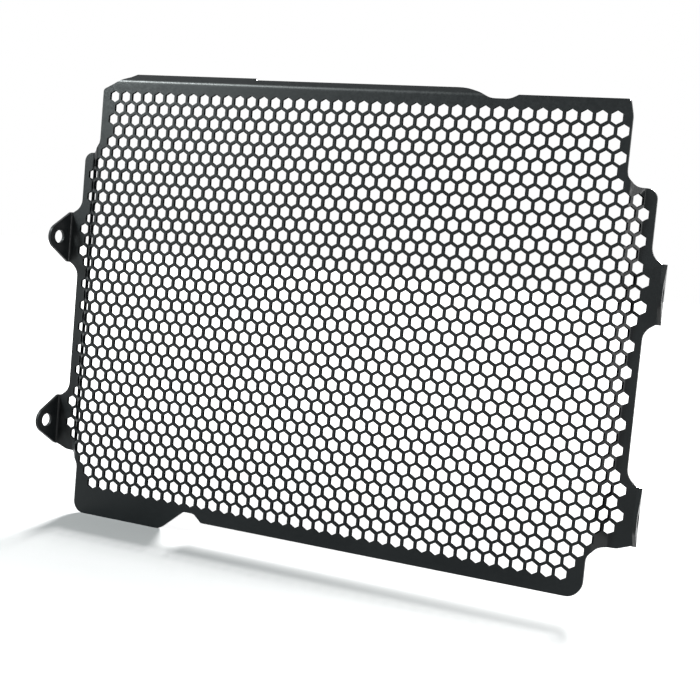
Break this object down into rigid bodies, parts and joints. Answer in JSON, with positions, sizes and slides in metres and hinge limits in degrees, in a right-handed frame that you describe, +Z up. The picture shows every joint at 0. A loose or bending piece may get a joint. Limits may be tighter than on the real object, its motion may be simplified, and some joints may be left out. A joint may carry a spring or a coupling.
{
  "type": "motorcycle radiator guard",
  "caption": "Flat perforated sheet guard for a motorcycle radiator, with set-back side flanges, a folded top lip and folded side ears with bolt holes.",
  "frame": {"origin": "middle of the guard's bounding box", "axes": "+X to the viewer's right, +Y from the front of the guard back to the radiator, +Z up"},
  "size_m": [0.3102, 0.016, 0.2252],
  "materials": {
    "powder_coat": "satin black powder coat"
  },
  "bodies": {
    "root": {"radiator_guard": "powder_coat"}
  },
  "joints": []
}
